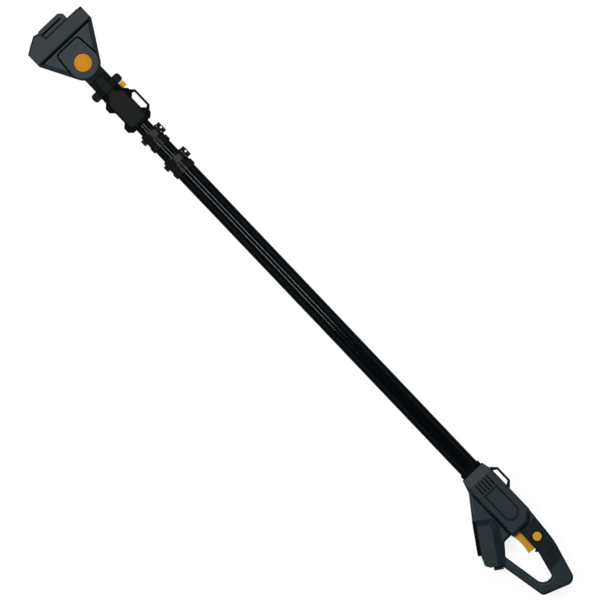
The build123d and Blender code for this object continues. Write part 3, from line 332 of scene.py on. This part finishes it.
def ridge_bar(start, end, outward, width, height, steps=28, arc=20):
    """Half-round ridge on a flat face: an ellipse, width by height above the face and a quarter of that below it,
    carried along a straight run and scaled by the root of 4 sin(pi u), cut off at 1, which closes its two ends."""
    start, end, outward = (np.asarray(value, float) for value in (start, end, outward))
    run = end - start
    side = np.cross(outward, run / np.linalg.norm(run))
    u = (1 - np.cos(np.linspace(0, np.pi, steps)))[:, None, None] / 2
    turn = np.linspace(0, 2 * np.pi, arc, endpoint=False)[None, :, None]
    swell = np.sqrt(np.clip(4 * np.sin(np.pi * u), 0, 1))
    rise = np.where(np.sin(turn) > 0, height, height / 4) * np.sin(turn)
    return start + u * run + swell * (np.cos(turn) * side * width / 2 + rise * outward)


def blank_plate(front, back, side, cut, face, facing, thickness, edge=0.6, rows=90, columns=40):
    """Flat plate with its two rear corners cut off: x runs from front to back, y is v times a half width that
    narrows over the cut, and the height is the root of the distance from the rim, up to the edge's width. The grid
    goes over the top and back under it."""
    x = np.linspace(front, back, rows)[:, None]
    half = np.minimum(side, side - cut + (back - x))
    v = np.concatenate([np.linspace(-1, 1, columns), np.linspace(1, -1, columns)])[None, :]
    rim = np.minimum((1 - np.abs(v)) * half, np.minimum(x - front, back - x))
    swell = np.sqrt(np.clip(rim / edge, 0, 1))
    over = np.repeat((thickness, -thickness), columns)[None, :]
    return np.stack([x + 0 * v, AXIS_Y + v * half, face + facing * over * swell], axis=-1)


def coil_spring(low, high, wire, turns, level_turn=0.25, steps=160, arc=12):
    """Round wire wound about Z inside a box: the wire's circle is carried round the axis, and its height goes from
    one end of the box to the other, level over the first and last quarter turn. Both wire ends draw in to a point."""
    u = np.linspace(0, 1, steps)[:, None]
    turn = 2 * np.pi * turns * u
    climb = np.clip((turns * u - level_turn) / (turns - 2 * level_turn), 0, 1)
    around = np.linspace(0, 2 * np.pi, arc, endpoint=False)[None, :]
    thick = wire / 2 * np.minimum(1, np.minimum(u, 1 - u) * steps)
    radius = (high[0] - low[0] - wire) / 2 + thick * np.cos(around)
    height = low[2] + wire / 2 + (high[2] - low[2] - wire) * climb + thick * np.sin(around)
    middle = (low + high) / 2
    return np.stack([middle[0] + radius * np.cos(turn), middle[1] + radius * np.sin(turn), height], axis=-1)


def cross_screw(spot, head_z, steps=61, arc=64):
    """Pan-head screw turned about Z, its head down: a profile of radius and height carried round the axis. The head's
    crown is hollowed by a cross recess, wherever x or y lies within the half width of its bars and the radius within
    their reach."""
    corners = np.arange(len(SCREW_PROFILE))
    along = np.linspace(0, corners[-1], steps)
    radius, height = (np.interp(along, corners, values)[:, None] for values in zip(*SCREW_PROFILE))
    turn = np.linspace(0, 2 * np.pi, arc, endpoint=False)[None, :]
    x, y = radius * np.cos(turn), radius * np.sin(turn)
    bar = np.minimum(np.abs(x), np.abs(y))
    wall = np.clip((RECESS_HALF - bar) / RECESS_WALL, 0, 1) * np.clip((RECESS_REACH - radius) / RECESS_WALL, 0, 1)
    depth = np.where(height < 0, RECESS_DEPTH * wall, 0.0)
    return np.stack([spot[0] + x, spot[1] + y, head_z + height + depth], axis=-1)


# The pole's axis, and where along it the head's pivot, the coupler and the handle start
AXIS_Y = 16.629
HEAD_X, COUPLER_X, HANDLE_X = -594.0, -524.0, 423.0

# Screws: radius and height of the profile, then each group's body, start and places along and across from the axis
SCREW_HEAD = 25.6
SCREW_PROFILE = (
    (0.0, -0.35), (0.6, -0.34), (1.2, -0.31), (1.8, -0.25), (2.4, -0.15), (2.9, 0.02), (3.15, 0.30), (3.2, 0.7),
    (3.2, 2.38), (1.7, 2.4), (1.6, 2.6), (1.6, 21.4), (0.8, 22.3), (0.0, 22.4),
)
RECESS_HALF, RECESS_REACH, RECESS_WALL, RECESS_DEPTH = 0.55, 2.0, 0.25, 1.3
screw_groups = {
    "head": ("head", HEAD_X, ((-64.0, 55.0), (-64.0, -50.0), (-32.0, 28.0), (-32.0, -28.0))),
    "coupler": ("inner_mast", COUPLER_X, ((23.0, 22.0), (23.0, -22.0), (71.5, 22.0), (71.5, -22.0))),
    "handle": (
        "handle",
        HANDLE_X,
        ((49.0, 22.5), (49.0, -22.0), (118.0, 19.5), (251.5, -15.5), (236.0, -55.5), (58.5, -40.5)),
    ),
}
for group, (body, group_x, spots) in screw_groups.items():
    screws = [cross_screw((group_x + along, AXIS_Y + across), SCREW_HEAD) for along, across in spots]
    piece = surface_piece(f"cross_{group}_screws", screws, body, finishes["steel"])
    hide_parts(f"{group}_screws")

# Grip ribs: the height of each flat side of the grip and the way it faces, then the ribs' rows across it
GRIP_SIDES = {"near": (54.0, 1.0), "far": (22.0, -1.0)}
RIB_ROWS = (10.0, 13.0, 16.0, 19.0, 22.0)
RIB_START, RIB_END, RIB_SLOPE = 617.0, 640.0, -0.25
RIB_WIDTH, RIB_HEIGHT = 1.5, 0.8
rib_drop = RIB_SLOPE * (RIB_END - RIB_START) / 2
for side_name, (face, facing) in GRIP_SIDES.items():
    rib_lines = [((RIB_START, row - rib_drop, face), (RIB_END, row + rib_drop, face)) for row in RIB_ROWS]
    ribs = [ridge_bar(start, end, (0, 0, facing), RIB_WIDTH, RIB_HEIGHT) for start, end in rib_lines]
    surface_piece(f"grip_ribs_{side_name}", ribs, "handle", finishes["grip_rubber"])

# Button springs: the joint that presses each one, its body, the joint's travel and the turns of wire.
SPRING_WIRE, SPRING_FLAT = 1.2, 0.02
button_springs = {
    "pivot_spring": ("pivot_button_press", "head", 3.0, 2.5),
    "lock_off_spring": ("lock_off_press", "handle", 3.5, 4.5),
}
for node, (joint, body, travel, turns) in button_springs.items():
    low, high = (np.array(corner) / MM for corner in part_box(node))
    wound = coil_spring(low, high, SPRING_WIRE, turns)
    coil = surface_piece(f"{node}_coil", [wound], body, finishes["steel"])
    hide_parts(node)
    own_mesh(coil)

# Finger ridges on the head latch: the middle of its sloping face, and the ways along and out of that face
LATCH_MIDDLE = np.array((-681.0, -30.371, 38.0))
LATCH_ALONG = np.array((0.51450, -0.85749, 0.0))
LATCH_OUT = np.array((-0.85749, -0.51450, 0.0))
LATCH_PROUD, LATCH_HALF = 0.8, np.array((0.0, 0.0, 13.0))
LATCH_ROWS = (-6.0, -3.0, 0.0, 3.0, 6.0)
RIDGE_WIDTH, RIDGE_HEIGHT = 1.7, 0.9
latch_lines = [LATCH_MIDDLE + row * LATCH_ALONG + LATCH_PROUD * LATCH_OUT for row in LATCH_ROWS]
ridges = [
    ridge_bar(line - LATCH_HALF, line + LATCH_HALF, LATCH_OUT, RIDGE_WIDTH, RIDGE_HEIGHT) for line in latch_lines
]
surface_piece("latch_ridges", ridges, "head_latch", finishes["inner_plastic"])

# Bare plates in the handle's panels: the height of each flat side of the handle and the way it faces
HANDLE_SIDES = {"near": (66.0, 1.0), "far": (10.0, -1.0)}
PLATE_FRONT, PLATE_BACK = HANDLE_X + 49.4, HANDLE_X + 110.6
PLATE_HALF, PLATE_CUT, PLATE_THICKNESS = 12.1, 9.0, 0.25
for side_name, (face, facing) in HANDLE_SIDES.items():
    plate = blank_plate(PLATE_FRONT, PLATE_BACK, PLATE_HALF, PLATE_CUT, face, facing, PLATE_THICKNESS)
    surface_piece(f"blank_plate_{side_name}", [plate], "handle", plate_plastic)


# Floor, light and camera
FLOOR_HALF = 20.0
FLOOR_GREY = (0.25, 0.25, 0.25, 1.0)
FLOOR_GLOW, FLOOR_GLOW_STRENGTH = (1.0, 1.0, 1.0, 1.0), 0.86
floor_corners = FLOOR_HALF * np.array([(-1, -1, 0), (1, -1, 0), (1, 1, 0), (-1, 1, 0)])
floor_mesh = bpy.data.meshes.new("floor")
floor_mesh.from_pydata(floor_corners.tolist(), [], [(0, 1, 2, 3)])
floor = bpy.data.objects.new("floor", floor_mesh)
bpy.context.scene.collection.objects.link(floor)
floor_paint = Finish(
    "floor_paint", Roughness=0.9, Specular_IOR_Level=0.0, Base_Color=FLOOR_GREY,
    Emission_Color=FLOOR_GLOW, Emission_Strength=FLOOR_GLOW_STRENGTH,
)
floor_mesh.materials.append(floor_paint.material)
floor.visible_glossy = False

WALL_COLOUR, WALL_STRENGTH = (0.95, 0.97, 1.0, 1.0), 0.14
world = bpy.data.worlds.new("studio")
world.use_nodes = True
background = world.node_tree.nodes["Background"]
background.inputs["Color"].default_value = WALL_COLOUR
background.inputs["Strength"].default_value = WALL_STRENGTH
bpy.context.scene.world = world


def soft_box(name, place, size, power):
    """Rectangular light at a place, its long side along the pole, tipped across the pole towards its axis."""
    light = bpy.data.lights.new(name, "AREA")
    light.shape = "RECTANGLE"
    light.size, light.size_y = size
    light.energy = power
    lamp = bpy.data.objects.new(name, light)
    bpy.context.scene.collection.objects.link(lamp)
    lamp.location = place
    lamp.rotation_euler = (-math.atan2(place[1], place[2]), 0.0, 0.0)


# Two strips draw the bright lines along the tubes, and two wide boxes light the sides
STRIP_SIZE, STRIP_WATTS = (0.9, 0.2), 37.0
BOX_SIZE, BOX_WATTS = (6.0, 2.0), 32.0
soft_box("upper_strip", (-0.38, 1.05, 2.7), STRIP_SIZE, STRIP_WATTS)
soft_box("lower_strip", (-0.38, -0.75, 2.7), STRIP_SIZE, STRIP_WATTS)
soft_box("front_box", (0.0, -3.6, 1.2), BOX_SIZE, BOX_WATTS)
soft_box("back_box", (0.0, 3.6, 1.2), BOX_SIZE, BOX_WATTS)

# The camera looks straight down at the near side, turned so that the pole lies across the picture
LENS, SENSOR = 500.0, 36.0
FRAME_WIDTH, FAR_LIMIT = 1.08, 100.0
POLE_TURN = 46.406
VIEW_MIDDLE = (-0.0157, 0.0052, 0.06)
camera_data = bpy.data.cameras.new("camera")
camera_data.lens = LENS
camera_data.sensor_width = SENSOR
camera_data.clip_end = FAR_LIMIT
camera = bpy.data.objects.new("camera", camera_data)
camera.location = (VIEW_MIDDLE[0], VIEW_MIDDLE[1], VIEW_MIDDLE[2] + FRAME_WIDTH * LENS / SENSOR)
camera.rotation_euler = (0.0, 0.0, math.radians(POLE_TURN))
bpy.context.scene.collection.objects.link(camera)
bpy.context.scene.camera = camera
bpy.context.scene.view_settings.view_transform = "Standard"
